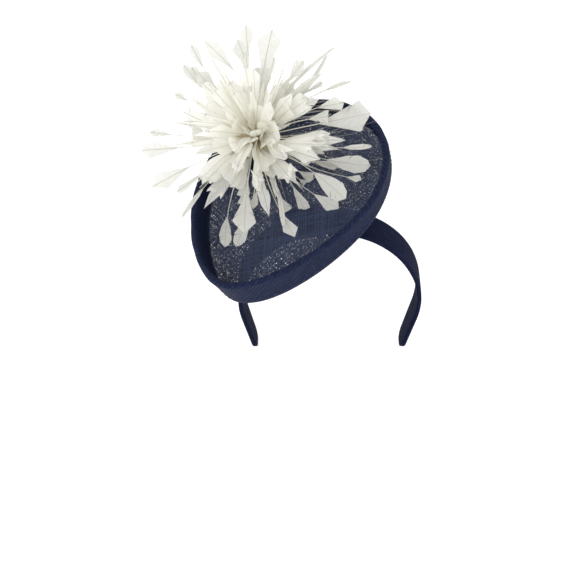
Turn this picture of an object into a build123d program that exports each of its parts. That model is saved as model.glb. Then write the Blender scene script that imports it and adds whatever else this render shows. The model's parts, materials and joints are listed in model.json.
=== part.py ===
"""Fascinator headpiece: a teardrop dish of two-ply sinamay on a covered headband, with a feather flower.

The origin is the centre of the band's arch, halfway across its width. +X is the wearer's left, +Y the
back of the head and +Z up. All lengths are millimetres and all angles degrees.
"""
from build123d import *
from collections import namedtuple
from math import copysign, cos, degrees, radians, sin, tan
import os

# ---------------------------------------------------------------- headband: driving dimensions
head_radius = 72.0  # inside of the lining, where the band grips the head
lining_thick = 0.8
core_thick = 1.4
cover_thick = 1.2
band_width = 32.0
band_end_width = 22.0
end_corner = 8.0  # rounding of each band end, seen from the side
core_margin = 2.0  # the cover is turned in round the core by this much on every edge
shoulder_angle = 62.0  # from the top of the arch, where each arm flexes
arc_end_angle = 105.0  # from the top, where the arc runs out into a straight end
straight_end = 38.0
flex_gap = 0.6  # slit between the crown and each arm, centred on the flexing line

core_inner = head_radius + lining_thick
core_outer = core_inner + core_thick
cover_outer = core_outer + cover_thick
taper_start = 34.0  # height below which the band narrows
half_slit = degrees(flex_gap / 2 / head_radius)  # the same slit, as an angle each side of the shoulder

# ---------------------------------------------------------------- dish: driving dimensions
dish_half_length = 96.5
dish_half_width = 78.0
dish_egg = 0.21  # how much wider the back of the teardrop is than its middle
dish_roundness = 1.075  # 1 is an ellipse; more than 1 makes the point keener
dish_lean_side = 21.0  # towards the wearer's right
dish_lean_front = 15.0
dish_heading = 58.0  # direction of the teardrop's long axis in plan, from +X
dish_centre = (-31.4, 14.1, 78.5)
ply_thick = 0.8
ply_gap = 0.1
corner_rise = 3.0  # height over which the flat base turns up into the brim
corner_run = 5.3
brim_height = 21.4  # at the middle of the dish
brim_slope = 5.4  # the brim is lower at the back than at the point
brim_flare = 3.3  # outward lean of the wall over its drawn height
wall_drawn = 34.0  # height of the wall before it is cut at the brim line
outline_points = 32
open_top = 10.0  # a block that hollows the dish is cut this far above the brim line, so no skin is left

binding_thick = 0.8
wire_radius = 0.7
fit_gap = 0.05  # between the brim binding and what it wraps, and the glue under the flower's disc

# ---------------------------------------------------------------- felt pad and stitches: driving dimensions
pad_length, pad_breadth, pad_depth = 40.0, 28.0, 16.0
pad_corner = 6.0
stitch_radius, stitch_length = 0.35, 5.0
stitches_in_row, stitch_step = 3, 12.0
stitch_rows, row_step = 2, 18.0

# ---------------------------------------------------------------- flower: driving dimensions
flower_u, flower_v = 41.0, 45.0  # place of the flower on the dish, along and across it
heart_height = 25.0
heart_radius = 9.0
quill_depth = 2.0  # each quill is glued this far into the heart
quill_width = 0.9
feather_thick = 0.6
flower_lean_side = 6.0
flower_lean_front = 44.0
disc_radius = 19.0
disc_thick = 1.6
stalk_radius = 4.0
thread_radius = 0.5
thread_turns, thread_step = 5, 2.0
thread_start = 4.0  # height of the lowest turn over the dish's floor
petal_blade = 36.0
petal_roll = 16.0
petal_stagger = 2.0  # every second petal is this much shorter and lower, the others longer and higher
quill_steps = 4

# Corners of a trimmed blade, as shares of its length and width from the neck.
blade_upper = ((0.30, 0.36), (0.62, 0.50))
blade_lower = ((0.85, -0.34), (0.45, -0.46))
blade_tip = 0.08

os.makedirs("parts", exist_ok=True)


def lean_plane(origin, lean_side, lean_front, heading):
    """A plane whose normal leans from straight up to the wearer's right and to the front."""
    side, front, turn = radians(lean_side), radians(lean_front), radians(heading)
    normal = (-sin(side) * cos(front), -sin(front), cos(side) * cos(front))
    return Plane(origin=origin, x_dir=(cos(turn), sin(turn), 0), z_dir=normal)


def save(builder, name):
    """Label a finished piece and write it out."""
    builder.part.label = name
    export_step(builder.part, f"parts/{name}.step")


# ================================================================ headband
def arch_point(radius, angle, down=0.0):
    """A point on the arch at an angle from its top, then down along the tangent there."""
    turn = radians(angle)
    along = copysign(down, angle)
    return (radius * sin(turn) + along * cos(turn), radius * cos(turn) - along * sin(turn))


def taper(margin):
    """Side outline that an arm's layers are trimmed to: parallel at the shoulder, narrower at the end."""
    top = cover_outer
    foot = arch_point(head_radius, arc_end_angle, straight_end)[1] + margin
    wide = band_width / 2 - margin
    narrow = band_end_width / 2 - margin
    with BuildPart() as slab:
        with BuildSketch(Plane.YZ):
            with BuildLine():
                Polyline((-wide, top), (-wide, taper_start), (-narrow, foot), (narrow, foot),
                         (wide, taper_start), (wide, top), close=True)
            make_face()
            fillet(vertices().group_by(Axis.Y)[0], radius=end_corner - margin)
        extrude(amount=2 * cover_outer, both=True)
    return slab.part


def crown_layer(inner, outer, margin):
    """One layer of the band over the top of the head, from shoulder to shoulder."""
    edge = shoulder_angle - half_slit
    with BuildPart() as layer:
        with BuildSketch(Plane.XZ):
            with BuildLine():
                over = ThreePointArc(*(arch_point(outer, angle) for angle in (-edge, 0, edge)))
                under = ThreePointArc(*(arch_point(inner, angle) for angle in (-edge, 0, edge)))
                Line(over @ 0, under @ 0)
                Line(over @ 1, under @ 1)
            make_face()
        extrude(amount=band_width / 2 - margin, both=True)
    return layer.part


def arm_layer(inner, outer, margin, side):
    """One layer of an arm, from its shoulder down to the band's end; side is 1 for the wearer's left."""
    start = side * (shoulder_angle + half_slit)
    middle = side * (shoulder_angle + arc_end_angle) / 2
    end = side * arc_end_angle
    length = straight_end - margin
    with BuildPart() as layer:
        with BuildSketch(Plane.XZ):
            with BuildLine():
                over = ThreePointArc(*(arch_point(outer, angle) for angle in (start, middle, end)))
                under = ThreePointArc(*(arch_point(inner, angle) for angle in (start, middle, end)))
                Line(over @ 0, under @ 0)
                Polyline(over @ 1, arch_point(outer, end, length), arch_point(inner, end, length), under @ 1)
            make_face()
        extrude(amount=band_width / 2 - margin, both=True)
        add(taper(margin), mode=Mode.INTERSECT)
    return layer.part


core_crown_shape = crown_layer(core_inner, core_outer, core_margin)
cover_crown_shape = crown_layer(core_inner, cover_outer, 0.0)
lining_crown_shape = crown_layer(head_radius, core_inner, 0.0)

with BuildPart() as band_core_crown:
    add(core_crown_shape)
save(band_core_crown, "band_core_crown")

with BuildPart() as band_cover_crown:
    add(cover_crown_shape)
    add(core_crown_shape, mode=Mode.SUBTRACT)
save(band_cover_crown, "band_cover_crown")

with BuildPart() as band_lining_crown:
    add(lining_crown_shape)
save(band_lining_crown, "band_lining_crown")

for side_name, side in (("left", 1), ("right", -1)):
    core_shape = arm_layer(core_inner, core_outer, core_margin, side)
    cover_shape = arm_layer(core_inner, cover_outer, 0.0, side)
    lining_shape = arm_layer(head_radius, core_inner, 0.0, side)

    with BuildPart() as band_core_arm:
        add(core_shape)
    save(band_core_arm, f"band_core_{side_name}")

    with BuildPart() as band_cover_arm:
        add(cover_shape)
        add(core_shape, mode=Mode.SUBTRACT)
    save(band_cover_arm, f"band_cover_{side_name}")

    with BuildPart() as band_lining_arm:
        add(lining_shape)
    save(band_lining_arm, f"band_lining_{side_name}")

# ================================================================ dish
dish = lean_plane(dish_centre, dish_lean_side, dish_lean_front, dish_heading)
brim = Plane(dish.location * Location((0, 0, brim_height), (0, brim_slope, 0)))


def teardrop(step):
    """One point of the teardrop, as shares of the dish's half length and half width."""
    turn = radians(360 * step / outline_points)
    along = copysign(abs(cos(turn)) ** dish_roundness, cos(turn))
    across = copysign(abs(sin(turn)) ** dish_roundness, sin(turn)) * (1 + dish_egg * along)
    return along, across


def outline(grow):
    """Points round the teardrop, grown outwards from its driving size."""
    points = []
    for step in range(outline_points):
        along, across = teardrop(step)
        points.append(((dish_half_length + grow) * along, (dish_half_width + grow) * across))
    return points


def dish_block(grow, lift, brim_cut):
    """A solid that fills the dish: flat under, flared at the wall, cut level with the brim line."""
    with BuildPart() as block:
        for height, run in ((0.0, -brim_flare / 2 - corner_run), (corner_rise, -brim_flare / 2),
                            (wall_drawn, brim_flare / 2)):
            with BuildSketch(dish.offset(lift + height)):
                with BuildLine():
                    Spline(*outline(grow + run), periodic=True)
                make_face()
        loft(ruled=True)
        split(bisect_by=brim.offset(brim_cut), keep=Keep.BOTTOM)
    return block.part


ply_step = ply_thick + ply_gap
dish_floor = ply_step + ply_thick  # height of the dish's upper face over its underside
inner_face = -2 * ply_step + ply_gap  # how far inside the outermost face the inner ply's wall ends
under_outer = dish_block(0.0, 0.0, 0.0)
under_inner = dish_block(-ply_thick, ply_thick, open_top)
top_outer = dish_block(-ply_step, ply_step, 0.0)
top_inner = dish_block(inner_face, dish_floor, open_top)

with BuildPart() as base_under_ply:
    add(under_outer)
    add(under_inner, mode=Mode.SUBTRACT)
save(base_under_ply, "base_under_ply")

with BuildPart() as base_top_ply:
    add(top_outer)
    add(top_inner, mode=Mode.SUBTRACT)
save(base_top_ply, "base_top_ply")

# The millinery wire lies along the brim between the two plies' cut edges and the fold of the binding.
wire_lift = wire_radius + fit_gap
fold_room = 2 * wire_radius + 3 * fit_gap


def brim_line(grow, lift):
    """Points in the dish's own frame where its flared wall, grown by grow, meets the lifted brim plane."""
    slope = tan(radians(brim_slope))
    crest = brim_height + lift / cos(radians(brim_slope))
    flare = brim_flare / (wall_drawn - corner_rise)
    points = []
    for step in range(outline_points):
        along, across = teardrop(step)
        level_run = grow - brim_flare / 2 + flare * (crest - corner_rise)
        u = (dish_half_length + level_run) * along / (1 + flare * slope * along)
        height = crest - slope * u
        run = grow - brim_flare / 2 + flare * (height - corner_rise)
        points.append((u, (dish_half_width + run) * across, height))
    return points


with BuildPart() as brim_wire:
    with BuildLine(dish) as wire_path:
        Spline(*brim_line(inner_face / 2, wire_lift), periodic=True)
    with BuildSketch(Plane(origin=wire_path.line @ 0, z_dir=wire_path.line % 0)):
        Circle(wire_radius)
    sweep(path=wire_path.line)
save(brim_wire, "brim_wire")

# The binding is one strip folded over the wire, covering both faces of the brim down to the base.
binding_outer = dish_block(fit_gap + binding_thick, 0.0, fold_room + binding_thick)
binding_inner = dish_block(inner_face - fit_gap - binding_thick, dish_floor, open_top)
binding_slot = dish_block(fit_gap, 0.0, fold_room)
slot_core = dish_block(inner_face - fit_gap, dish_floor, open_top)
binding_foot = corner_rise + dish_floor + fit_gap

with BuildPart() as brim_slot:
    add(binding_slot)
    add(slot_core, mode=Mode.SUBTRACT)

with BuildPart() as brim_binding:
    add(binding_outer)
    add(binding_inner, mode=Mode.SUBTRACT)
    add(brim_slot.part, mode=Mode.SUBTRACT)
    split(bisect_by=dish.offset(binding_foot), keep=Keep.TOP)
save(brim_binding, "brim_binding")

# ================================================================ felt pad between band and dish
under_point = Vector(*arch_point(cover_outer, -dish_lean_side), 0)
on_band = Vector(under_point.X, 0, under_point.Y)
rise = (Vector(*dish_centre) - on_band).dot(dish.z_dir)
pad_plane = Plane(origin=on_band + dish.z_dir * rise, x_dir=(1, 0, 0), z_dir=dish.z_dir)

with BuildPart() as felt_pad:
    with BuildSketch(pad_plane):
        RectangleRounded(pad_length, pad_breadth, pad_corner)
    extrude(amount=-pad_depth)
    with BuildSketch(Plane.XZ):
        Circle(cover_outer)
    extrude(amount=band_width, both=True, mode=Mode.SUBTRACT)
save(felt_pad, "felt_pad")

with BuildPart() as pad_stitches:
    stitch_plane = pad_plane.offset(dish_floor + stitch_radius)
    with Locations(stitch_plane):
        with GridLocations(stitch_step, row_step, stitches_in_row, stitch_rows):
            Cylinder(stitch_radius, stitch_length, rotation=(0, 90, 0))
save(pad_stitches, "pad_stitches")

# ================================================================ feather flower
flower_foot = Plane(dish.location * Location((flower_u, flower_v, dish_floor + fit_gap)))
heart_centre = flower_foot.origin + flower_foot.z_dir * heart_height
flower = lean_plane(heart_centre, flower_lean_side, flower_lean_front, 0.0)

with BuildPart() as flower_disc:
    with BuildSketch(flower_foot):
        Circle(disc_radius)
    extrude(amount=disc_thick)
save(flower_disc, "flower_disc")

with BuildPart() as flower_stalk:
    with BuildSketch(flower_foot.offset(disc_thick)):
        Circle(stalk_radius)
    extrude(amount=heart_height - disc_thick - heart_radius + quill_depth)
save(flower_stalk, "flower_stalk")

with BuildPart() as stalk_thread:
    for turn in range(thread_turns):
        with Locations(flower_foot.offset(thread_start + turn * thread_step)):
            Torus(stalk_radius + thread_radius + fit_gap, thread_radius)
save(stalk_thread, "stalk_thread")

with BuildPart() as flower_heart:
    with Locations(flower):
        Sphere(heart_radius)
save(flower_heart, "flower_heart")

root_radius = heart_radius - quill_depth


def feather_plane(bearing, lift, roll):
    """Plane of one feather: its x runs out along the quill and its z is the feather's face."""
    return Plane(flower.location * Location((0, 0, 0), (0, 0, bearing)) * Location((0, 0, 0), (0, -lift, 0))
                 * Location((0, 0, 0), (roll, 0, 0)))


def feather_outline(length, blade, width, bend):
    """Closed outline of a stripped feather: a bare quill, then a trimmed blade, bent sideways to the tip."""
    half = quill_width / 2
    neck = length - blade
    bare = neck - root_radius
    quill = [(root_radius + bare * step / quill_steps, half) for step in range(quill_steps + 1)]
    upper = [(neck + along * blade, across * width) for along, across in blade_upper]
    lower = [(neck + along * blade, across * width) for along, across in blade_lower]
    points = quill + upper + [(length, blade_tip * width)] + lower + [(x, -y) for x, y in reversed(quill)]
    reach = length - root_radius
    return [(x, y + bend * ((x - root_radius) / reach) ** 2) for x, y in points]


# Each ring of petals: how many, lift from the flower's own plane, reach and width of a petal.
Ring = namedtuple("Ring", "name count first sweep lift length width")
rings = (
    Ring("petals_back", 8, 45.0, 144.0, -14.0, 50.0, 9.0),
    Ring("petals_outer", 18, 5.0, 360.0, 38.0, 61.0, 11.5),
    Ring("petals_middle", 14, 12.0, 360.0, 50.0, 58.0, 11.5),
    Ring("petals_inner", 9, 0.0, 360.0, 62.0, 52.0, 10.0),
    Ring("petals_centre", 5, 30.0, 360.0, 76.0, 46.0, 10.0),
)
for ring in rings:
    with BuildPart() as petals:
        for place in range(ring.count):
            stagger = petal_stagger if place % 2 else -petal_stagger
            bearing = ring.first + place * ring.sweep / ring.count
            edge = feather_outline(ring.length + stagger, petal_blade, ring.width, 0.0)
            with BuildSketch(feather_plane(bearing, ring.lift + stagger, petal_roll)):
                with BuildLine():
                    Polyline(*edge, close=True)
                make_face()
            extrude(amount=feather_thick / 2, both=True)
    save(petals, ring.name)

# The long trimmed feathers: bearing at the root (anticlockwise from +X, seen from the flower's front),
# lift, length, blade length, blade width, sideways throw of the tip.
Long = namedtuple("Long", "name bearing lift length blade width bend")
long_feathers = (
    Long("feather_a", 85, 10, 88, 26, 15, -8),
    Long("feather_b", 86, 25, 77, 22, 10, 43),
    Long("feather_c", 95, 15, 91, 17, 9, -2),
    Long("feather_d", 90, 0, 83, 18, 12, 15),
    Long("feather_e", 133, 6, 92, 20, 6, -14),
    Long("feather_f", 144, 14, 82, 21, 6, -13),
    Long("feather_g", 151, 3, 76, 12, 5, 0),
    Long("feather_h", 134, 23, 71, 27, 12, -3),
    Long("feather_i", 182, 9, 86, 16, 5, -6),
    Long("feather_j", 194, 18, 95, 20, 11, -8),
    Long("feather_k", 204, 9, 94, 23, 12, 4),
    Long("feather_l", 223, 18, 95, 30, 4, 13),
    Long("feather_m", 244, 19, 101, 25, 8, 22),
    Long("feather_n", 262, 28, 96, 26, 15, 6),
    Long("feather_o", 278, 19, 99, 25, 8, -26),
    Long("feather_p", 283, 28, 112, 26, 9, 14),
    Long("feather_q", 300, 30, 101, 28, 4, -18),
    Long("feather_r", 304, 20, 101, 16, 10, 20),
    Long("feather_s", 328, 27, 109, 28, 12, -12),
    Long("feather_t", 322, 19, 102, 12, 5, 20),
    Long("feather_u", 334, 16, 103, 25, 11, 13),
    Long("feather_v", 342, 24, 108, 25, 5, 12),
    Long("feather_w", 6, 16, 98, 28, 20, 2),
    Long("feather_x", 28, 24, 82, 21, 10, -18),
    Long("feather_y", 58, 11, 96, 50, 4, -20),
    Long("feather_z", 33, 5, 88, 45, 4, 25),
    Long("feather_aa", 58, 21, 74, 14, 9, -5),
    Long("feather_bb", 48, 27, 76, 30, 3, -12),
    Long("feather_cc", 41, 14, 88, 20, 4, -21),
)
for long in long_feathers:
    edge = feather_outline(long.length, long.blade, long.width, long.bend)
    with BuildPart() as feather:
        with BuildSketch(feather_plane(long.bearing, long.lift, 0.0)):
            with BuildLine():
                Polyline(*edge, close=True)
            make_face()
        extrude(amount=feather_thick / 2, both=True)
    save(feather, long.name)
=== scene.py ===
"""Looks of the feather fascinator: woven dish, bound brim, covered headband and feather flower. Metres."""

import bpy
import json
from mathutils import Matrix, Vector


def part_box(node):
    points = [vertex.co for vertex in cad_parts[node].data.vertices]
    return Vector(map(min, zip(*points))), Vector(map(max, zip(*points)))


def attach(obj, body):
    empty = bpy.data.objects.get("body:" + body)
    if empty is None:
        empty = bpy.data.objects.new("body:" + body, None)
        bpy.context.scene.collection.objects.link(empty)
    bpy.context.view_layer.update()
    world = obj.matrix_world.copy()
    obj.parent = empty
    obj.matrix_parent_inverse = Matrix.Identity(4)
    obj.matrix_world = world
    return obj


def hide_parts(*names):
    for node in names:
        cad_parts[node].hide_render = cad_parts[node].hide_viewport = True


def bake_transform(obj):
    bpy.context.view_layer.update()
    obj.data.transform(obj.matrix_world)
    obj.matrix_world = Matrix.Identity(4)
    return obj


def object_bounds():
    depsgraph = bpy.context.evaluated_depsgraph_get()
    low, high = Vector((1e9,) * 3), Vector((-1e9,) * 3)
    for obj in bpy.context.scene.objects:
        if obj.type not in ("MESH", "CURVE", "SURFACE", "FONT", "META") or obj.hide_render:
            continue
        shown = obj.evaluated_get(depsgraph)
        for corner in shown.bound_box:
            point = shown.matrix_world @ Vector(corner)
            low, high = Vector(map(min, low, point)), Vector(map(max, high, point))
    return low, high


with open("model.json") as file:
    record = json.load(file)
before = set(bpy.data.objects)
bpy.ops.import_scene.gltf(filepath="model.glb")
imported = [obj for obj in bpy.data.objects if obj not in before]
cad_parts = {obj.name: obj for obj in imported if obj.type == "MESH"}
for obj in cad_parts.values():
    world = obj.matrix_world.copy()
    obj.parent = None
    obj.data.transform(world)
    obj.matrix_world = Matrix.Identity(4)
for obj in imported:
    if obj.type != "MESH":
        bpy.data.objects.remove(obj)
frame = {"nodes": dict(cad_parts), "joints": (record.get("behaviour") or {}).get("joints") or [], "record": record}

import copy
import json
import math

import bpy
import numpy as np
from mathutils import Matrix, Vector, noise
from mathutils.bvhtree import BVHTree

cad_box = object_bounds()
MM = 0.001
GATHER = 3.1 * MM  # spacing of the gathers along the binding
BIAS = 0.7071  # turns places on a cloth to the lines of its threads, which are cut at 45 degrees
OVERHEAD = 0.1  # a height over the dish's middle that clears its brim

# ---------------------------------------------------------------- reading the frame


def points_of(node):
    """A CAD node's corners as an array."""
    mesh = frame["nodes"][node].data
    flat = np.zeros(len(mesh.vertices) * 3)
    mesh.vertices.foreach_get("co", flat)
    return flat.reshape(-1, 3)


def solids_of(node):
    """The corners of each separate solid in a node, in a steady order."""
    mesh = frame["nodes"][node].data
    points = points_of(node)
    keys = {}
    merged = [keys.setdefault(tuple(np.round(p, 6)), len(keys)) for p in points]
    parent = list(range(len(keys)))

    def root(i):
        while parent[i] != i:
            parent[i] = parent[parent[i]]
            i = parent[i]
        return i

    for a, b in (tuple(e.vertices) for e in mesh.edges):
        parent[root(merged[a])] = root(merged[b])
    groups = {}
    for key, index in keys.items():
        groups.setdefault(root(index), []).append(key)
    return [np.array(g) for g in sorted(groups.values(), key=lambda g: min(g))]


def tree_of(node):
    """A node's surface, for measuring it with rays."""
    mesh = frame["nodes"][node].data
    corners = [v.co.copy() for v in mesh.vertices]
    return BVHTree.FromPolygons(corners, [tuple(p.vertices) for p in mesh.polygons])


def widest_flat(node):
    """The upward normal of a node's largest flat face."""
    best = max(frame["nodes"][node].data.polygons, key=lambda p: p.area)
    normal = best.normal.copy()
    return normal if normal.z > 0 else -normal


# ---------------------------------------------------------------- materials


class Nodes:
    """A short way to write one material's node tree."""

    def __init__(self, name):
        self.material = bpy.data.materials.new(name)
        self.material.use_nodes = True
        self.tree = self.material.node_tree
        self.tree.nodes.clear()
        self.output = self.add("ShaderNodeOutputMaterial")

    def add(self, kind, inputs=None, **settings):
        node = self.tree.nodes.new(kind)
        for key, value in settings.items():
            setattr(node, key, value)
        for key, value in (inputs or {}).items():
            self.put(node.inputs[key], value)
        return node

    def put(self, socket, value):
        if isinstance(value, bpy.types.NodeSocket):
            self.tree.links.new(value, socket)
        else:
            socket.default_value = value

    def math(self, operation, a, b=0.0):
        node = self.add("ShaderNodeMath", operation=operation)
        self.put(node.inputs[0], a)
        self.put(node.inputs[1], b)
        return node.outputs[0]

    def noise(self, scale, detail=3.0, vector=None):
        node = self.add("ShaderNodeTexNoise", {"Scale": scale, "Detail": detail})
        self.put(node.inputs["Vector"], vector or self.place())
        return node.outputs["Fac"]

    def place(self):
        return self.add("ShaderNodeTexCoord").outputs["Object"]

    def attribute(self, name):
        return self.add("ShaderNodeAttribute", attribute_name=name)

    def ramp(self, factor, stops):
        node = self.add("ShaderNodeValToRGB")
        ramp = node.color_ramp
        while len(ramp.elements) < len(stops):
            ramp.elements.new(0.5)
        for element, (at, colour) in zip(ramp.elements, stops):
            element.position = at
            element.color = (*colour, 1)
        self.put(node.inputs[0], factor)
        return node.outputs[0]

    def mix(self, factor, a, b, mode="MIX"):
        node = self.add("ShaderNodeMix", data_type="RGBA", blend_type=mode)
        self.put(node.inputs[0], factor)
        self.put(node.inputs[6], a)
        self.put(node.inputs[7], b)
        return node.outputs[2]

    def bump(self, height, distance, strength=1.0):
        node = self.add("ShaderNodeBump", {"Strength": strength, "Distance": distance})
        self.put(node.inputs["Height"], height)
        return node.outputs[0]

    def surface(self, shader):
        self.tree.links.new(shader, self.output.inputs[0])
        return self.material


def rgb(r, g, b):
    """An sRGB colour out of 255 as linear light."""
    return tuple(((c / 255 + 0.055) / 1.055) ** 2.4 if c > 10 else c / 255 / 12.92 for c in (r, g, b))


def rgba(r, g, b):
    """The same with a full alpha."""
    return (*rgb(r, g, b), 1)


def woven(name, dark, light, pitch, roughness, bump, gloss, ribs=0.0):
    """Plain weave drawn in the cloth's own coordinates (the cloth attribute: along, across, in metres)."""
    n = Nodes(name)
    cloth = n.add("ShaderNodeSeparateXYZ", {0: n.attribute("cloth").outputs["Vector"]})
    wobble = n.math("MULTIPLY", n.math("SUBTRACT", n.noise(900.0, 2.0), 0.5), pitch * 0.8)
    along = n.math("ADD", cloth.outputs[0], wobble)
    across = n.math("ADD", cloth.outputs[1], wobble)
    warp = n.math("SINE", n.math("MULTIPLY", along, math.tau / pitch))
    weft = n.math("SINE", n.math("MULTIPLY", across, math.tau / pitch))
    checks = n.math("MULTIPLY", warp, weft)
    threads = n.math("ADD", n.math("ABSOLUTE", warp), n.math("ABSOLUTE", weft))
    slub = n.noise(260.0, 4.0)
    shade = n.math("ADD", n.math("MULTIPLY", checks, 0.26), n.math("MULTIPLY", slub, 0.5))
    shade = n.math("ADD", shade, 0.25)
    colour = n.ramp(shade, [(0.22, dark), (0.78, light)])
    height = n.math("ADD", n.math("MULTIPLY", threads, 0.5), n.math("MULTIPLY", slub, 0.4))
    if ribs:
        rib = n.math("SINE", n.math("MULTIPLY", cloth.outputs[0], math.tau / ribs))
        height = n.math("ADD", height, n.math("MULTIPLY", rib, 0.6))
        colour = n.mix(n.math("MULTIPLY", n.math("ADD", rib, 1.0), 0.22), colour, (*dark, 1))
    shader = n.add("ShaderNodeBsdfPrincipled", {"Base Color": colour, "Roughness": roughness,
                   "Specular IOR Level": gloss, "Normal": n.bump(height, bump)})
    return n.surface(shader.outputs[0])


def thread_material(name, dark, light, roughness=0.5, gloss=0.45):
    """Straw-like fibre: streaks at the scale of a strand, each strand with its own depth of dye."""
    n = Nodes(name)
    own = n.add("ShaderNodeSeparateXYZ", {0: n.attribute("cloth").outputs["Vector"]}).outputs[2]
    streak = n.noise(1500.0, 5.0)
    shade = n.math("ADD", n.math("MULTIPLY", streak, 0.86), n.math("MULTIPLY", own, 0.14))
    colour = n.ramp(shade, [(0.28, dark), (0.74, light)])
    shader = n.add("ShaderNodeBsdfPrincipled", {"Base Color": colour, "Roughness": roughness,
                   "Specular IOR Level": gloss, "Normal": n.bump(streak, 0.0001, 0.5)})
    return n.surface(shader.outputs[0])


def felt_material(name, dark, light):
    """Short matted fibres with soft clumps, for felt, velvet and matt plastic."""
    n = Nodes(name)
    fibres = n.noise(2200.0, 6.0)
    clumps = n.noise(240.0, 4.0)
    shade = n.math("ADD", n.math("MULTIPLY", fibres, 0.6), n.math("MULTIPLY", clumps, 0.4))
    colour = n.ramp(shade, [(0.3, dark), (0.7, light)])
    shader = n.add("ShaderNodeBsdfPrincipled", {"Base Color": colour, "Roughness": 0.95,
                   "Specular IOR Level": 0.08, "Sheen Weight": 0.12, "Sheen Roughness": 0.5,
                   "Sheen Tint": (*light, 1), "Normal": n.bump(shade, 0.0003, 0.8)})
    return n.surface(shader.outputs[0])


def feather_material(name, open_share, translucence, light, dark, glow):
    """Barbed vane: fine stripes along the barbs, tan at the heart, letting light through.

    The glow stands for light passed on between crowded blades.
    """
    n = Nodes(name)
    vane = n.add("ShaderNodeSeparateXYZ", {0: n.attribute("vane").outputs["Vector"]})
    barb, reach, tint = vane.outputs
    stripe = n.math("SINE", n.math("MULTIPLY", barb, math.tau))
    fine = n.math("SINE", n.math("MULTIPLY", barb, math.tau * 3.37))
    mottle = n.noise(330.0, 4.0)
    body = n.mix(n.math("MULTIPLY", mottle, 0.8), light, dark)
    body = n.mix(n.math("MULTIPLY", n.math("ADD", stripe, 1.0), 0.05), body, rgba(214, 212, 202))
    warm = n.ramp(reach, [(0.06, rgb(214, 182, 122)), (0.13, rgb(244, 234, 206)),
                          (0.20, rgb(254, 254, 250)), (1.0, rgb(255, 255, 254))])
    colour = n.mix(1.0, body, warm, "MULTIPLY")
    colour = n.mix(n.math("MULTIPLY", tint, 0.14), colour, rgba(226, 224, 212))
    height = n.math("ADD", n.math("MULTIPLY", stripe, 0.5), n.math("MULTIPLY", fine, 0.25))
    bump = n.bump(height, 0.00012, 0.7)
    front = n.add("ShaderNodeBsdfPrincipled", {"Base Color": colour, "Roughness": 0.55,
                  "Specular IOR Level": 0.3, "Sheen Weight": 0.25, "Sheen Roughness": 0.35, "Normal": bump,
                  "Emission Color": rgba(255, 252, 240), "Emission Strength": glow})
    through = n.add("ShaderNodeBsdfTranslucent", {"Color": colour, "Normal": bump})
    both = n.add("ShaderNodeMixShader", {0: translucence, 1: front.outputs[0], 2: through.outputs[0]})
    sparse = n.math("GREATER_THAN", n.math("ADD", fine, n.math("MULTIPLY", mottle, 0.8)), 1.05)
    gaps = n.math("MULTIPLY", sparse, open_share)
    clear = n.add("ShaderNodeBsdfTransparent")
    mixed = n.add("ShaderNodeMixShader", {0: gaps, 1: both.outputs[0], 2: clear.outputs[0]})
    return n.surface(mixed.outputs[0])


def quill_material():
    """Horn-like quill: tan at the heart, cream along its length and greyer at the tip."""
    n = Nodes("quill")
    vane = n.add("ShaderNodeSeparateXYZ", {0: n.attribute("vane").outputs["Vector"]})
    streak = n.noise(700.0, 4.0)
    warm = n.ramp(vane.outputs[1], [(0.08, rgb(206, 174, 116)), (0.16, rgb(232, 214, 172)),
                                    (0.42, rgb(236, 232, 216)), (0.88, rgb(226, 223, 209)),
                                    (1.0, rgb(190, 188, 178))])
    colour = n.mix(n.math("MULTIPLY", streak, 0.3), warm, rgba(222, 210, 180))
    shader = n.add("ShaderNodeBsdfPrincipled", {"Base Color": colour, "Roughness": 0.38,
                   "Specular IOR Level": 0.5, "Subsurface Weight": 0.15,
                   "Normal": n.bump(streak, 0.00005, 0.4)})
    return n.surface(shader.outputs[0])


materials = {
    "sinamay": thread_material("sinamay_thread", rgb(8, 13, 30), rgb(64, 76, 110), 0.36),
    # The under ply is a darker copy of the top ply's sinamay: painted shade for the ply lying under the other.
    "sinamay_under": thread_material("sinamay_thread_under", rgb(8, 12, 26), rgb(32, 40, 65), 0.6, 0.15),
    "binding": woven("binding_weave", rgb(5, 9, 26), rgb(44, 55, 92), 1.15 * MM, 0.66, 0.0003, 0.1, GATHER),
    "cover": woven("cover_weave", rgb(7, 10, 26), rgb(30, 38, 68), 0.9 * MM, 0.8, 0.00016, 0.04),
    "lining": felt_material("velvet_lining", rgb(8, 11, 26), rgb(24, 30, 54)),
    "felt": felt_material("navy_felt", rgb(9, 13, 28), rgb(28, 34, 58)),
    "core": felt_material("core_plastic", rgb(20, 20, 22), rgb(34, 34, 38)),
    "wire": thread_material("wire_cotton", rgb(120, 120, 126), rgb(176, 176, 182), 0.6),
    "stitch": thread_material("navy_thread", rgb(18, 23, 50), rgb(58, 66, 108), 0.4),
    "binding_thread": thread_material("cream_thread", rgb(176, 146, 92), rgb(228, 210, 168), 0.5),
    # The petal and long vanes are lit and shaded copies of one feather, so their difference is painted light. The
    # petal copy is brighter and glows, making up for the shade among the crowded petals. The long copy is darker,
    # toning down the fuller light on the lone long feathers.
    "petal": feather_material("petal_vane", 0.10, 0.52, rgba(252, 252, 250), rgba(246, 245, 239), 0.13),
    "long": feather_material("long_vane", 0.22, 0.3, rgba(232, 232, 227), rgba(218, 218, 212), 0.03),
    "quill": quill_material(),
}

# ---------------------------------------------------------------- making meshes


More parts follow.
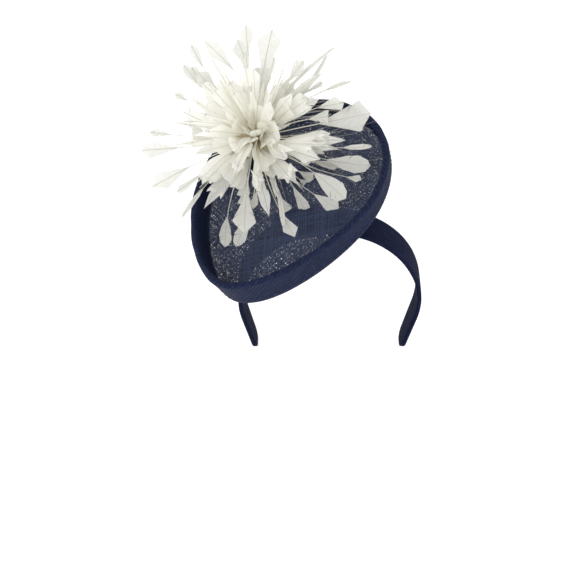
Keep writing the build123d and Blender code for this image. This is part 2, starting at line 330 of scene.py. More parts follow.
class Shape:
    """Corners, faces and per-corner vectors gathered for one mesh."""

    def __init__(self):
        self.points, self.faces, self.slots, self.extra = [], [], [], []

    def add(self, points, faces, extra, slot=0):
        start = len(self.points)
        self.points.extend(points)
        self.extra.extend(extra)
        self.faces.extend(tuple(start + i for i in f) for f in faces)
        self.slots.extend([slot] * len(faces))

    def grid(self, rows, extra, slot=0, around=False):
        """Rows of corners joined into four-sided faces, each row closed into a ring if asked."""
        height, width = len(rows), len(rows[0])
        flat = [p for row in rows for p in row]
        flat_extra = [e for row in extra for e in row]
        faces = []
        for i in range(height - 1):
            for j in range(width if around else width - 1):
                m = (j + 1) % width
                faces.append((i * width + j, i * width + m, (i + 1) * width + m, (i + 1) * width + j))
        self.add(flat, faces, flat_extra, slot)

    def build(self, name, slots, attribute="cloth", smooth=True):
        mesh = bpy.data.meshes.new(name)
        mesh.from_pydata([tuple(p) for p in self.points], [], self.faces)
        for material in slots:
            mesh.materials.append(material)
        mesh.polygons.foreach_set("material_index", self.slots)
        mesh.polygons.foreach_set("use_smooth", [smooth] * len(self.faces))
        layer = mesh.attributes.new(attribute, "FLOAT_VECTOR", "POINT")
        layer.data.foreach_set("vector", np.array(self.extra, np.float32).ravel())
        mesh.update()
        piece = bpy.data.objects.new(name, mesh)
        bpy.context.scene.collection.objects.link(piece)
        return piece


def tube(shape, path, radii, sides, extra, slot=0):
    """A round tube along a path of points, tapering with the radii, with closed ends."""
    path = [Vector(p) for p in path]
    rows = []
    side = None
    for i, p in enumerate(path):
        tangent = (path[min(i + 1, len(path) - 1)] - path[max(i - 1, 0)]).normalized()
        if side is None:
            side = tangent.orthogonal().normalized()
        side = (side - tangent * side.dot(tangent)).normalized()
        other = tangent.cross(side)
        rows.append([p + (side * math.cos(a) + other * math.sin(a)) * radii[i]
                     for a in (math.tau * k / sides for k in range(sides))])
    start = len(shape.points)
    shape.grid(rows, [[extra[i]] * sides for i in range(len(path))], slot, around=True)
    last = start + (len(path) - 1) * sides
    shape.faces.append(tuple(start + k for k in reversed(range(sides))))
    shape.faces.append(tuple(last + k for k in range(sides)))
    shape.slots.extend([slot, slot])


# ---------------------------------------------------------------- the dish's own frame
dish_up = widest_flat("flower_disc")


def heights_of(node):
    """How far each of a node's corners lies along the dish's upward direction."""
    return points_of(node) @ np.array(dish_up)


binding_points = points_of("brim_binding")
dish_middle = Vector(binding_points.mean(0))
dish_middle += dish_up * (heights_of("base_under_ply").min() - dish_middle.dot(dish_up))
in_plane = binding_points - np.array(dish_middle)
in_plane -= np.outer(in_plane @ np.array(dish_up), np.array(dish_up))
long_axis = Vector(np.linalg.eigh(in_plane.T @ in_plane)[1][:, -1])
long_axis = (long_axis if long_axis.y > 0 else -long_axis).normalized()
cross_axis = dish_up.cross(long_axis)


def dish_point(along, across, height):
    """A place in the dish's own frame: along and across its outline, and over its underside."""
    return dish_middle + long_axis * along + cross_axis * across + dish_up * height


def bearing(angle):
    """A direction across the dish at an angle from its long axis."""
    return long_axis * math.cos(angle) + cross_axis * math.sin(angle)


binding_tree = tree_of("brim_binding")
REACH = 0.3  # farther from the dish's middle than any part of its brim


def wall_inside(angle, height):
    """Radius of the brim's inner face at a bearing and height."""
    hit = binding_tree.ray_cast(dish_middle + dish_up * height, bearing(angle), REACH)
    return hit[3] if hit[0] else None


def wall_outside(angle, height):
    """Radius of the brim's outer face at a bearing and height."""
    start = dish_middle + dish_up * height + bearing(angle) * REACH
    hit = binding_tree.ray_cast(start, -bearing(angle), REACH)
    return REACH - hit[3] if hit[0] else None


def crest(angle, radius):
    """Height of the brim's top over the dish's underside, looked for outwards from a radius."""
    heights = []
    for step in range(12):
        start = dish_middle + bearing(angle) * (radius + step * 0.5 * MM) + dish_up * OVERHEAD
        hit = binding_tree.ray_cast(start, -dish_up, 2 * OVERHEAD)
        if hit[0]:
            heights.append(OVERHEAD - hit[3])
    return max(heights)


binding_foot = float(((binding_points - np.array(dish_middle)) @ np.array(dish_up)).min())

# ---------------------------------------------------------------- sinamay plies
ROUND = 360
brim_floor = [wall_inside(math.tau * i / ROUND, binding_foot + 1 * MM) for i in range(ROUND)]


def edge_radius(angle):
    """Radius of the dish's floor at any bearing, between the measured ones."""
    place = (angle % math.tau) / math.tau * ROUND
    low = int(place) % ROUND
    share = place - int(place)
    return brim_floor[low] * (1 - share) + brim_floor[(low + 1) % ROUND] * share


def weave(name, node, turn, pitch, width, seed, material):
    """One ply of open plain weave: flat strands passing over and under each other, up to the binding."""
    rng = np.random.default_rng(seed)
    tree = tree_of(node)
    shape = Shape()
    half_span = 0.115
    strands = int(2 * half_span / pitch)
    lift = 0.16 * MM
    tuck, sink, buckle = 0.35 * MM, 0.35 * MM, 0.35 * MM
    for family in (0, 1):
        direction = turn + family * math.pi / 2
        ahead = (math.cos(direction), math.sin(direction))
        aside = (-ahead[1], ahead[0])
        jitter = rng.normal(0, 0.10 * pitch, strands)
        widths = width * rng.uniform(0.72, 1.22, strands)
        dye = rng.uniform(0, 1, strands)
        for i in range(strands):
            offset = -half_span + i * pitch + jitter[i]
            phase = rng.uniform(0, math.tau)
            run = []
            for j in range(strands):
                along = -half_span + j * pitch
                wander = offset + 0.12 * pitch * math.sin(along * 70 + phase)
                u, v = along * ahead[0] + wander * aside[0], along * ahead[1] + wander * aside[1]
                radius = math.hypot(u, v)
                inside = radius < edge_radius(math.atan2(v, u)) + tuck
                if inside:
                    hit = tree.ray_cast(dish_point(u, v, OVERHEAD / 2), -dish_up, OVERHEAD)
                    if hit[0] is None:
                        inside = False
                    else:
                        sway = noise.noise(Vector((u * 22, v * 22, seed))) * buckle
                        over = lift if (i + j + family) % 2 else -lift
                        centre = hit[0] + dish_up * (over - sink + sway)
                        side = (long_axis * aside[0] + cross_axis * aside[1]) * (widths[i] / 2)
                        side *= 1 + 0.18 * math.sin(along * 910 + phase * 3)
                        run.append((centre - side, centre + side, along))
                if not inside and run:
                    if len(run) > 1:
                        shape.grid([[a, b] for a, b, _ in run],
                                   [[(s, 0, dye[i]), (s, width, dye[i])] for _, _, s in run])
                    run = []
    piece = shape.build(name, [material])
    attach(piece, "crown")
    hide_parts(node)


strand_pitch = 1.3 * MM
top_turn, under_turn = math.radians(20), math.radians(20) + math.radians(38)
weave("sinamay_top_ply", "base_top_ply", top_turn, strand_pitch, 0.80 * MM, 11, materials["sinamay"])
weave("sinamay_under_ply", "base_under_ply", under_turn, strand_pitch, 0.85 * MM, 12,
      materials["sinamay_under"])

# ---------------------------------------------------------------- brim binding


def make_binding():
    """The bias strip: up the inside, over a soft rolled crest, down the outside and under the dish."""
    shape = Shape()
    around = 900
    roll = 2.9 * MM
    probe_at = binding_foot + 4 * MM
    rows, extra, widths = [], [], []
    arc, last = 0.0, None
    for i in range(around):
        angle = math.tau * i / around
        inner_low = wall_inside(angle, binding_foot + 1 * MM)
        inner_mid = wall_inside(angle, probe_at)
        outer_mid = wall_outside(angle, probe_at)
        top = crest(angle, inner_mid)
        high = top - roll + 0.5 * MM
        inner_high = wall_inside(angle, high) or inner_mid
        outer_high = wall_outside(angle, high) or outer_mid
        outer_low = wall_outside(angle, binding_foot + 0.6 * MM) or outer_mid
        puff = 1.1 * MM * (1 + 0.5 * noise.noise(Vector((math.cos(angle) * 6, math.sin(angle) * 6, 3))))
        gather = 0.2 * MM * math.sin(arc / GATHER * math.tau)
        gather *= 0.5 + noise.noise(Vector((arc * 40, 0, 5)))
        outline = [(inner_low + 0.9 * MM, binding_foot - 1.9 * MM),
                   (inner_low + 0.1 * MM, binding_foot - 1.6 * MM),
                   (inner_low - 0.25 * MM, binding_foot - 0.8 * MM)]
        for k in range(6):
            share = k / 5
            sway = 0.25 * MM * noise.noise(Vector((math.cos(angle) * 9, math.sin(angle) * 9, share * 2)))
            outline.append((inner_low + (inner_high - inner_low) * share - puff * share ** 2 + sway,
                            binding_foot + 0.4 * MM + (high - binding_foot - 0.4 * MM) * share))
        middle, half = (inner_high + outer_high) / 2, (outer_high - inner_high) / 2 + puff
        for k in range(1, 10):
            turn = math.pi * (1 - k / 10)
            outline.append((middle + half * math.cos(turn), high + roll * math.sin(turn)))
        for k in range(8):
            share = k / 7
            bulge = puff * (1 - share) ** 2 + gather * math.sin(math.pi * (0.15 + 0.7 * share))
            outline.append((outer_high + (outer_low - outer_high) * share + bulge,
                            high + (binding_foot - 0.8 * MM - high) * share))
        outline += [(outer_low - 1.2 * MM, binding_foot - 2.6 * MM),
                    (outer_low - 3.4 * MM, binding_foot - 4.0 * MM)]
        if last is not None:
            arc += (bearing(angle) * outer_mid - last).length
        last = bearing(angle) * outer_mid
        row, marks, across = [], [], 0.0
        for k, (radius, height) in enumerate(outline):
            if k:
                across += math.hypot(radius - outline[k - 1][0], height - outline[k - 1][1])
            row.append(dish_middle + bearing(angle) * radius + dish_up * height)
            marks.append(((arc + across) * BIAS, (arc - across) * BIAS, 0.0))
        rows.append(row)
        extra.append(marks)
        widths.append(across)
    rows.append(rows[0])
    extra.append([(a + (arc + 0.4 * MM) * BIAS - extra[0][0][0], b + arc * BIAS - extra[0][0][1], 0.0)
                  for a, b, _ in extra[0]])
    shape.grid(rows, extra)
    piece = shape.build("brim_bias_binding", [materials["binding"]])
    solid = piece.modifiers.new("cloth", "SOLIDIFY")
    solid.thickness, solid.offset = 0.45 * MM, -1
    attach(piece, "crown")
    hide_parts("brim_binding")


make_binding()


def running_stitches(name, count, height, lift, inside):
    """Short stitches in a row round the foot of the binding."""
    shape = Shape()
    for i in range(count):
        a0 = math.tau * i / count
        path = []
        for k in range(6):
            share = k / 5
            angle = a0 + share * 0.62 * math.tau / count
            radius = wall_inside(angle, height) if inside else wall_outside(angle, height)
            if radius is None:
                continue
            away = (-1 if inside else 1) * lift * math.sin(math.pi * share)
            path.append(dish_middle + bearing(angle) * (radius + away) + dish_up * height)
        if len(path) == 6:
            tube(shape, path, [0.2 * MM] * 6, 6, [(k * 0.4 * MM, 0, 0) for k in range(6)])
    piece = shape.build(name, [materials["stitch"]])
    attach(piece, "crown")


running_stitches("binding_stitches_outer", 120, binding_foot + 1.6 * MM, 0.75 * MM, False)
running_stitches("binding_stitches_inner", 120, binding_foot + 1.6 * MM, 0.55 * MM, True)

# ---------------------------------------------------------------- headband
head_radius = frame["record"]["mounts"][0]["dims"]["r_mm"] * MM
cover_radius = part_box("band_cover_crown")[1].z
core_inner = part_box("band_lining_crown")[1].z
core_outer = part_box("band_core_crown")[1].z
band_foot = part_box("band_cover_left")[0].z
ARC_END = math.radians(105)
SEAM = -math.radians(21)
foot_run = (head_radius * math.cos(ARC_END) - band_foot) / math.sin(ARC_END)


def band_place(radius, length):
    """Point and outward direction on the band at a signed length from its top."""
    side = 1 if length >= 0 else -1
    arc = head_radius * ARC_END
    if abs(length) <= arc:
        angle = abs(length) / head_radius
        out = Vector((side * math.sin(angle), 0, math.cos(angle)))
        return out * radius, out
    out = Vector((side * math.sin(ARC_END), 0, math.cos(ARC_END)))
    down = Vector((side * math.cos(ARC_END), 0, -math.sin(ARC_END)))
    return out * radius + down * (abs(length) - arc), out


band_trees = {}


def half_width(layer, length):
    """Half the width of a band layer there, measured on its CAD node from the layer's side."""
    side = "left" if length > 0 else "right"
    beside = Vector((0, 0.05, 0))
    for node in (f"band_{layer}_crown", f"band_{layer}_{side}"):
        if node not in band_trees:
            band_trees[node] = tree_of(node)
        radius = {"cover": (core_outer + cover_radius) / 2, "core": (core_inner + core_outer) / 2,
                  "lining": (head_radius + core_inner) / 2}[layer]
        start, _ = band_place(radius, length)
        hit = band_trees[node].ray_cast(start + beside, Vector((0, -1, 0)), 2 * beside.y)
        if hit[0] is not None:
            return hit[0].y
    return None


def band_half(name, layer, profile, side, material):
    """One half of a band layer, from the seam under the dish to the band's end."""
    limit = head_radius * ARC_END + foot_run
    overlap, rounded, tip, near_seam = 0.7 * MM, 8 * MM, 0.25 * MM, 20 * MM
    start = head_radius * SEAM - (overlap if side > 0 else 0.0)
    steps = 150
    lengths = [start + (side * limit - start) * k / steps for k in range(steps + 1)]
    fine = [side * (limit - rounded * (1 - math.sin(math.pi / 2 * k / 12))) for k in range(13)]
    lengths = [x for x in lengths if abs(x) < limit - rounded or (x - start) * side < near_seam] + fine
    shape = Shape()
    rows, extra = [], []
    half = 16 * MM
    for length in lengths:
        probe = side * (limit - tip) if abs(length) > limit - tip else length
        half = half_width(layer, probe) or half
        row, marks = [], []
        for across, radius, mark in profile(half):
            place, out = band_place(radius, length)
            ripple = noise.noise(Vector((length * 45, across * 60, 7))) * 0.12 * MM
            row.append(place + Vector((0, across, 0)) + out * ripple)
            marks.append(((length + mark) * BIAS, (length - mark) * BIAS, 0.0))
        rows.append(row)
        extra.append(marks)
    shape.grid(rows, extra, around=True)
    count = len(rows[0])
    last = (len(rows) - 1) * count
    ends = [tuple(last + k for k in range(count)), tuple(reversed(range(count)))]
    shape.faces.extend(ends if side > 0 else [tuple(reversed(face)) for face in ends])
    shape.slots.extend([0, 0])
    piece = shape.build(name, [material])
    arm = "left" if side > 0 else "right"
    joint = next(j for j in frame["joints"] if j["name"] == f"{arm}_arm_flex")
    pivot = Vector(joint["pos_m"])
    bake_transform(piece)
    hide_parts(f"band_{layer}_{arm}", f"band_{layer}_crown")


def cover_profile(half):
    """Cross-section of the cover: a shallow channel open towards the head, its long edges rounded."""
    outer, inner, floor = cover_radius, core_inner, core_outer
    edge, wall, lip = 1.1 * MM, 1.9 * MM, 0.3 * MM
    points = []
    for k in range(9):
        share = k / 8 * 2 - 1
        points.append(((half - edge) * share, outer + 0.15 * MM * (1 - share * share)))
    for k in range(1, 5):
        turn = math.pi / 2 * (1 - k / 4)
        points.append((half - edge + edge * math.cos(turn), outer - edge + edge * math.sin(turn)))
    points += [(half, inner + lip), (half - lip, inner), (half - wall, inner), (half - wall, floor)]
    points += [(-across, radius) for across, radius in reversed(points[-4:])]
    for k in range(4):
        turn = math.pi - math.pi / 2 * k / 4
        points.append((-(half - edge) + edge * math.cos(turn), outer - edge + edge * math.sin(turn)))
    marked, run = [], 0.0
    for i, (across, radius) in enumerate(points):
        if i:
            run += math.hypot(across - points[i - 1][0], radius - points[i - 1][1])
        marked.append((across, radius, run))
    return marked


def strip_profile(inner, outer, narrow):
    """Cross-section of a flat strip with soft edges, a little narrower than its node."""
    def profile(full):
        half = full - narrow
        middle, thick = (inner + outer) / 2, (outer - inner) / 2
        points = [(half * share, outer) for share in (-0.96, -0.5, 0, 0.5, 0.96)] + [(half, middle)]
        points += [(half * share, inner) for share in (0.96, 0.5, 0, -0.5, -0.96)] + [(-half, middle)]
        return [(a, r, a + thick) for a, r in points]
    return profile


for side, arm in ((1, "left"), (-1, "right")):
    band_half(f"headband_cover_{arm}", "cover", cover_profile, side, materials["cover"])
    band_half(f"headband_core_{arm}", "core", strip_profile(core_inner, core_outer, 0.05 * MM), side,
              materials["core"])
    band_half(f"headband_lining_{arm}", "lining", strip_profile(head_radius, core_inner, 0.4 * MM), side,
              materials["lining"])

# ---------------------------------------------------------------- small parts under the flower


def finish_node(node, material):
    """A CAD node whose shape is right keeps it, with a material of its own."""
    mesh = frame["nodes"][node].data
    mesh.materials.clear()
    mesh.materials.append(material)
    for polygon in mesh.polygons:
        polygon.use_smooth = False


def soft_copy(name, node, voxel, inflate, material):
    """A soft piece in a CAD solid's place: remeshed, rounded and lightly uneven."""
    source = frame["nodes"][node]
    mesh = source.data.copy()
    piece = bpy.data.objects.new(name, mesh)
    bpy.context.scene.collection.objects.link(piece)
    mesh.materials.clear()
    mesh.materials.append(material)
    remesh = piece.modifiers.new("remesh", "REMESH")
    remesh.mode, remesh.voxel_size = "VOXEL", voxel
    smooth = piece.modifiers.new("smooth", "SMOOTH")
    smooth.iterations, smooth.factor = 4, 0.5
    graph = bpy.context.evaluated_depsgraph_get()
    baked = bpy.data.meshes.new_from_object(piece.evaluated_get(graph))
    piece.modifiers.clear()
    piece.data = baked
    normals = [v.normal.copy() for v in baked.vertices]
    for vertex, normal in zip(baked.vertices, normals):
        vertex.co += normal * (inflate + 0.12 * MM * noise.noise(vertex.co * 400))
    baked.polygons.foreach_set("use_smooth", [True] * len(baked.polygons))
    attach(piece, "crown")
    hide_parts(node)
    return piece


soft_copy("felt_wedge_pad", "felt_pad", 0.8 * MM, -0.05 * MM, materials["felt"])
disc = soft_copy("felt_flower_disc", "flower_disc", 0.5 * MM, -0.02 * MM, materials["felt"])
finish_node("brim_wire", materials["wire"])
finish_node("pad_stitches", materials["stitch"])

heart_low, heart_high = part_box("flower_heart")
heart = (heart_low + heart_high) / 2
heart_radius = (heart_high.x - heart_low.x) / 2
disc_top = float(heights_of("flower_disc").max())
stalk_foot = Vector(points_of("flower_stalk").mean(0))
stalk_foot -= dish_up * (stalk_foot.dot(dish_up) - disc_top)
stalk_radius = 4.0 * MM
FLOWER_SPAN = 60 * MM  # where a feather's colour has run from tan at the heart to its far tone


def far_from_heart(place):
    """How far along the heart-to-tip colours a place is, from 0 to 1."""
    return min(1.0, (place - heart).length / FLOWER_SPAN)


def make_stalk():
    """A bundle of quill ends with thread wound round it."""
    shape = Shape()
    rng = np.random.default_rng(5)
    span = (heart - stalk_foot).dot(dish_up)
    for ring, count in ((0.0, 1), (0.36, 6), (0.74, 12)):
        for k in range(count):
            angle = math.tau * (k + 0.3 * ring) / count
            out = bearing(angle) * stalk_radius * ring
            path = []
            for step in range(7):
                share = step / 6
                spread = 0.92 + 0.25 * max(0.0, share - 0.7)
                sway = bearing(rng.uniform(0, math.tau)) * 0.06 * MM
                path.append(stalk_foot + out * spread + sway + dish_up * span * share * 0.86)
            tube(shape, path, [0.72 * MM] * 7, 8, [(0, 0.2, 0)] * 7)
    piece = shape.build("quill_bundle", [materials["quill"]], "vane")
    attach(piece, "crown")
    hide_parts("flower_stalk")
    coil = Shape()
    levels = heights_of("stalk_thread")
    low, high = levels.min(), levels.max()
    base = stalk_foot.dot(dish_up)
    turns, steps = 11, 24
    path = []
    for k in range(turns * steps + 1):
        angle = math.tau * k / steps
        share = k / (turns * steps)
        height = low + (high - low) * share - base
        radius = stalk_radius * 1.02 + 0.12 * MM * math.sin(angle * 0.37)
        path.append(stalk_foot + bearing(angle) * radius + dish_up * height)
    tube(coil, path, [0.34 * MM] * len(path), 6, [(k * MM, 0, 0) for k in range(len(path))])
    piece = coil.build("stalk_winding", [materials["binding_thread"]])
    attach(piece, "crown")
    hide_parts("stalk_thread")


make_stalk()

# ---------------------------------------------------------------- feathers


class Feather:
    """Where a CAD feather lies: its root, plane, length, blade, width and sideways bend."""

    def __init__(self, points):
        away = points - np.array(heart)
        reach = np.linalg.norm(away, axis=1)
        self.root = reach.min()
        near = away[reach < self.root + 1.5 * MM].mean(0)
        self.ahead = Vector(near).normalized()
        middle = points - points.mean(0)
        thin = Vector(np.linalg.eigh(middle.T @ middle)[1][:, 0]).normalized()
        thin = (thin - self.ahead * thin.dot(self.ahead)).normalized()
        self.face = thin if thin.dot(self.ahead.cross(Vector((1, 0, 0)))) >= 0 else -thin
        self.aside = self.face.cross(self.ahead)
        x = away @ np.array(self.ahead)
        y = away @ np.array(self.aside)
        self.length = x.max()
        self.bend = float(y[x > self.length - 0.1 * MM].mean())
        curve = self.bend * ((x - self.root) / (self.length - self.root)) ** 2
        spread = np.abs(y - curve)
        self.width = 2 * float(spread.max())
        blade = x[spread > 0.9 * MM]
        self.neck = float(blade.min()) - 0.5 * (self.length - float(blade.min()))


FEATHER_NODES = sorted(n for n in frame["nodes"] if n.startswith("feather_"))
brim_crest = [crest(math.tau * i / ROUND, brim_floor[i]) for i in range(ROUND)]
dish_floor = disc_top - dish_middle.dot(dish_up)


def clear_of_dish(place):
    """The spot nearest a feather's corner that is over the dish's floor and inside its brim."""
    away = place - dish_middle
    along, across, height = away.dot(long_axis), away.dot(cross_axis), away.dot(dish_up)
    angle, radius = math.atan2(across, along), math.hypot(along, across)
    edge = edge_radius(angle)
    margin, brim_depth, off_floor = 1.5 * MM, 9 * MM, 0.8 * MM
    top = brim_crest[int((angle % math.tau) / math.tau * ROUND) % ROUND] + margin
    if radius > edge + brim_depth or height > top:
        return place
    inside = min(radius, edge - margin)
    return dish_point(inside * math.cos(angle), inside * math.sin(angle), max(height, dish_floor + off_floor))


def shaft(feather, curl, lean, throw=0.0):
    """Two functions of a share of the quill's length: its place, and its tangent, side and face."""
    ahead, aside, face = feather.ahead, feather.aside, feather.face
    span = feather.length - feather.root

    def at(share):
        place = heart + ahead * (feather.root + span * share)
        place += aside * (feather.bend + throw) * share ** 2
        place += face * (curl * share ** 2 + lean * math.sin(math.pi * share))
        return clear_of_dish(place)

    def frame_at(share, twist):
        low, high = at(max(0.0, share - 0.02)), at(min(1.0, share + 0.02))
        tangent = (high - low).normalized()
        side = (aside - tangent * aside.dot(tangent)).normalized()
        up = side.cross(tangent) * -1
        turn = Matrix.Rotation(twist * share, 3, tangent)
        return tangent, turn @ side, turn @ up
    return at, frame_at


# Half-width of each side of the blade, from neck to tip, as shares of its greatest half-width.
OUTLINES = {
    "cut": (((0, 0.05), (0.25, 0.42), (0.62, 1.0), (0.86, 0.9), (1, 0.05)),
            ((0, 0.05), (0.30, 0.5), (0.78, 0.96), (1, 0.0))),
    "diamond": (((0, 0.04), (0.35, 0.6), (0.6, 1.0), (1, 0.0)),
                ((0, 0.04), (0.3, 0.55), (0.52, 1.0), (1, 0.0))),
    "leaf": (((0, 0.05), (0.3, 0.75), (0.55, 1.0), (0.8, 0.72), (1, 0.0)),
             ((0, 0.05), (0.35, 0.8), (0.6, 1.0), (0.85, 0.6), (1, 0.0))),
    "spike": (((0, 0.2), (0.3, 1.0), (0.6, 0.8), (1, 0.0)), ((0, 0.2), (0.25, 0.9), (0.55, 0.7), (1, 0.0))),
    "strip": (((0, 0.1), (0.2, 0.8), (0.6, 1.0), (0.9, 0.6), (1, 0.0)),
              ((0, 0.1), (0.25, 0.7), (0.6, 0.9), (0.9, 0.5), (1, 0.0))),
}


def outline_at(table, share):
    """Half-width from an outline's table, between its points."""
    for (a, wa), (b, wb) in zip(table, table[1:]):
        if share <= b:
            return wa + (wb - wa) * (share - a) / (b - a)
    return table[-1][1]


def grow_feather(shape, feather, style, rng, width, cup, tint, lines, flip, shorten=1.0, curl=None, lean=None,
                 twist=None):
    """Add one feather: a tapered quill and two rows of barbs, parted here and there as real ones are."""
    span = feather.length - feather.root
    curl = rng.normal(0, 0.05) * span if curl is None else curl
    lean = rng.normal(0, 0.02) * span if lean is None else lean
    twist = rng.normal(0, 0.35) if twist is None else twist
    at, frame_at = shaft(feather, curl, lean)
    half = width / 2
    neck = max(0.06, (feather.neck - feather.root) / span)
    steps = 12
    path = [at(shorten * k / steps) for k in range(steps + 1)]
    radii = [(0.5 - 0.26 * k / steps) * MM for k in range(steps + 1)]
    marks = [(0.0, far_from_heart(p), tint) for p in path]
    tube(shape, path, radii, 5, marks, 1)

    def barbs(share, reach, side_sign, gap):
        """One line of barbs from the quill to the blade's edge, swept towards the tip."""
        along = shorten * (neck + (1 - neck) * share)
        centre = at(along)
        tangent, side, up = frame_at(along, twist)
        row, marks = [], []
        room = (at(shorten) - centre).length
        sweep = min(0.75 * reach, room * 0.9)
        for k in range(4):
            t = k / 3
            place = centre + side * side_sign * reach * t + tangent * sweep * t ** 1.6
            place += up * (cup * half * (t * reach / max(half, 1e-6)) ** 2 + rng.normal(0, 0.05 * MM) * t)
            place -= tangent * gap * t * t
            place = clear_of_dish(place)
            row.append(place)
            marks.append((share * 48 + t * 0.3, far_from_heart(place), tint))
        return row, marks

    tables = OUTLINES[style]
    for which, side_sign in ((0, 1), (1, -1)):
        table = tables[which if not flip else 1 - which]
        previous = None
        gap = 0.0
        for i in range(lines + 1):
            share = i / lines
            parted = 0 < i < lines and rng.random() < 0.07
            gap = rng.uniform(0.15, 0.5) * MM if parted else gap * 0.55
            reach = half * outline_at(table, share) * (1 - 0.05 * rng.random())
            line = barbs(share, reach, side_sign, gap)
            if previous is not None:
                shape.grid([previous[0], line[0]], [previous[1], line[1]], 0)
            previous = line
            if parted:
                previous = barbs(share, reach, side_sign, -gap)


def style_of(feather):
    """The outline that suits a feather's proportions."""
    blade = feather.length - feather.neck
    ratio = feather.width / blade
    return "strip" if ratio < 0.2 else "leaf" if ratio < 0.34 else "cut" if ratio > 0.5 else "diamond"


def nudged(feather, turn, tip):
    """The same feather turned a little round the heart: sideways by turn and out of its plane by tip."""
    other = copy.copy(feather)
    spin = Matrix.Rotation(turn, 3, feather.face) @ Matrix.Rotation(tip, 3, feather.aside)
    other.ahead, other.aside, other.face = spin @ feather.ahead, spin @ feather.aside, spin @ feather.face
    return other


def long_feathers():
    """Each CAD feather as a quill with its trimmed blade, and one or two shorter companions."""
    for index, node in enumerate(FEATHER_NODES):
        rng = np.random.default_rng(100 + index)
        feather = Feather(points_of(node))
        shape = Shape()
        wide = feather.width / (feather.length - feather.neck)
        curl = rng.uniform(-0.02, 0.06) * feather.length
        fuller = 1.3 if wide > 0.25 else 1.1
        grow_feather(shape, feather, style_of(feather), rng, width=feather.width * fuller, curl=curl,
                     lean=rng.normal(0, 0.015) * feather.length, twist=rng.normal(0, 0.22), cup=0.16,
                     tint=rng.random(), lines=26 if wide < 0.2 else 22, flip=bool(index % 2))
        for _ in range(1 if feather.ahead.z < 0.35 else 2):
            near = nudged(feather, rng.uniform(-0.22, 0.22), rng.uniform(-0.05, 0.2))
            grow_feather(shape, near, ("cut", "diamond", "leaf")[int(rng.integers(3))], rng,
                         width=rng.uniform(5, 12) * MM, shorten=rng.uniform(0.5, 0.84), cup=0.12,
                         tint=rng.random(), lines=18, flip=rng.random() < 0.5)
        piece = shape.build("long_" + node, [materials["long"], materials["quill"]], "vane")
        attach(piece, "crown")
        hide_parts(node)


long_feathers()


def petals(node, seed, extra_copies, width, shorten):
    """One ring of petals, each CAD petal a small bunch; those that hang low are longer and more."""
    rng = np.random.default_rng(seed)
    shape = Shape()
    for solid in solids_of(node):
        feather = Feather(solid)
        hang = max(0.0, min(1.0, 0.5 - 1.4 * feather.ahead.z))
        for copy in range(1 + extra_copies + 2 * int(hang > 0.5)):
            turn = rng.normal(0, 0.1) if copy == 0 else rng.uniform(-0.34, 0.34)
            tip = rng.normal(0, 0.1) if copy == 0 else rng.uniform(-0.3, 0.3)
            style = ("diamond", "cut", "leaf", "cut", "spike")[int(rng.integers(5))]
            share = 0.25 if style == "spike" else rng.uniform(0.6, 1.25)
            grow_feather(shape, nudged(feather, turn, tip), style, rng,
                         width=width * share, curl=rng.normal(0.0, 0.06) * feather.length,
                         lean=rng.normal(0, 0.05) * feather.length, twist=rng.normal(0, 0.7),
                         cup=rng.uniform(-0.05, 0.1),
                         shorten=(shorten + 0.2 * hang) * rng.uniform(0.62, 1.18),
                         tint=rng.random(), lines=16, flip=rng.random() < 0.5)
    piece = shape.build("feather_" + node, [materials["petal"], materials["quill"]], "vane")
    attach(piece, "crown")
    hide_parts(node)


petals("petals_back", 21, 1, 13 * MM, 1.15)
petals("petals_outer", 22, 1, 15 * MM, 1.15)
petals("petals_middle", 23, 1, 15 * MM, 1.05)
petals("petals_inner", 24, 1, 14 * MM, 1.0)
petals("petals_centre", 25, 1, 12 * MM, 1.0)


def make_heart():
    """The wad where the quills meet: a ball of fluff tufts."""
    shape = Shape()
    rng = np.random.default_rng(9)
    for k in range(260):
        out = Vector(rng.normal(0, 1, 3)).normalized()
        side = out.orthogonal().normalized()
        tip = out * heart_radius * rng.uniform(0.75, 1.25)
        bend = side * rng.normal(0, 1.6) * MM
        path = [heart + out * heart_radius * 0.35, heart + tip * 0.7 + bend * 0.4, heart + tip + bend]
        tube(shape, path, [0.5 * MM, 0.36 * MM, 0.08 * MM], 4, [(0, 0.1, 0), (0, 0.14, 0), (0, 0.2, 0)])
    piece = shape.build("flower_heart_wad", [materials["quill"]], "vane")
    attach(piece, "crown")
    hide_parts("flower_heart")


make_heart()


def make_wisps():
    """Fine hackle filaments among the long feathers."""
    shape = Shape()
    rng = np.random.default_rng(31)
    for node in FEATHER_NODES:
        feather = Feather(points_of(node))
        if feather.width > 6.5 * MM:
            continue
        upright = feather.ahead.x > 0.2 and feather.ahead.z > 0.1
        for _ in range(13 if upright else 1):
            other = nudged(feather, rng.uniform(-0.22, 0.22), rng.uniform(-0.1, 0.12))
            at, _frame = shaft(other, rng.normal(0, 0.12) * other.length, 0.0, rng.normal(0, 20) * MM)
            far = rng.uniform(0.6, 1.0)
            path = [at(far * k / 10) for k in range(11)]
            marks = [(0.0, far_from_heart(p), 0.3) for p in path]
            tube(shape, path, [(0.24 - 0.017 * k) * MM for k in range(11)], 3, marks)
    piece = shape.build("hackle_wisps", [materials["quill"]], "vane")
    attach(piece, "crown")


make_wisps()

# ---------------------------------------------------------------- stage, light and camera


def stage_material():
    """Pale matt backdrop that gives off light of its own."""
    n = Nodes("pale_floor")
    mottle = n.noise(3.0, 2.0)
    colour = n.mix(mottle, rgba(208, 208, 208), rgba(203, 203, 204))
    shader = n.add("ShaderNodeBsdfPrincipled", {"Base Color": colour, "Roughness": 0.9,
                   "Specular IOR Level": 0.1, "Emission Color": (1, 1, 1, 1), "Emission Strength": 0.66})
    return n.surface(shader.outputs[0])


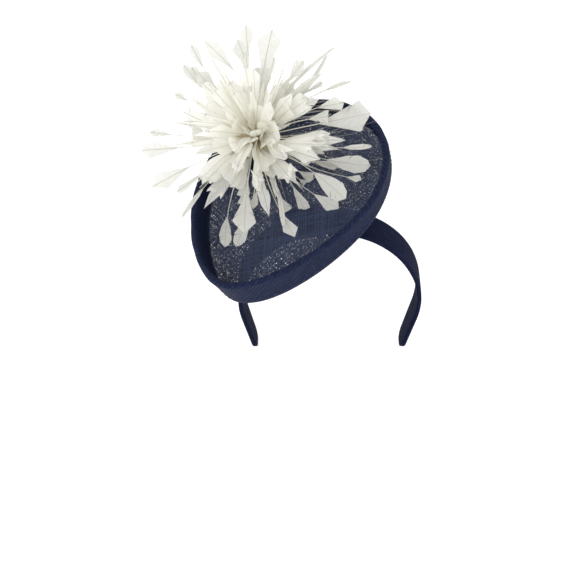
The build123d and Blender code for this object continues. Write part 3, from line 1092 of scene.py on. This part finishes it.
def make_stage():
    """A wide round pale floor that curves up into a backdrop all the way round."""
    shape = Shape()
    floor = cad_box[0].z
    middle, level, curve, top, sides = 0.9, 2.8, 1.6, 3.4, 48
    turns = [math.pi / 2 * k / 12 for k in range(13)]
    profile = [(level + curve * math.sin(a), curve - curve * math.cos(a)) for a in turns]
    profile = [(middle, 0.0)] + profile + [(level + curve, top)]
    bearings = [math.tau * k / sides for k in range(sides)]
    rows = [[Vector((r * math.cos(a), r * math.sin(a), floor + z)) for a in bearings] for r, z in profile]
    shape.grid(rows, [[(0, 0, 0)] * sides for _ in rows], around=True)
    shape.faces.append(tuple(reversed(range(sides))))
    shape.slots.append(0)
    shape.build("floor", [stage_material()], smooth=False)


def lamp(name, place, size, power):
    """A soft round lamp, aimed at the middle of the headpiece."""
    aim = Vector((0, 0, 0.05))
    light = bpy.data.lights.new(name, "AREA")
    light.shape, light.size, light.energy = "DISK", size, power
    item = bpy.data.objects.new(name, light)
    item.location = place
    item.rotation_euler = (aim - Vector(place)).to_track_quat("-Z", "Y").to_euler()
    bpy.context.scene.collection.objects.link(item)


def make_camera():
    """A long lens in front of the headpiece, looking down on it."""
    lift, distance = math.radians(40), 1.4
    back = Vector((0, -math.cos(lift), math.sin(lift)))
    above = Vector((0, math.sin(lift), math.cos(lift)))
    aim = Vector((-0.0369, 0, 0)) + above * 0.0055
    camera = bpy.data.cameras.new("camera")
    camera.sensor_width = 36
    camera.lens = 106.6
    item = bpy.data.objects.new("camera", camera)
    item.location = aim + back * distance
    item.rotation_euler = (-back).to_track_quat("-Z", "Y").to_euler()
    bpy.context.scene.collection.objects.link(item)
    bpy.context.scene.camera = item


make_stage()
lamp("front", (-0.5, -1.9, 1.7), 1.5, 21)
lamp("key", (-1.8, -1.2, 1.7), 1.3, 13)
lamp("fill", (1.6, -1.0, 1.6), 1.6, 6)
lamp("top", (0.2, 0.9, 2.4), 1.6, 4)
world = bpy.data.worlds.new("studio")
world.use_nodes = True
world.node_tree.nodes["Background"].inputs[0].default_value = (1, 1, 1, 1)
world.node_tree.nodes["Background"].inputs[1].default_value = 0.38
bpy.context.scene.world = world
bpy.context.scene.view_settings.view_transform = "Standard"
make_camera()
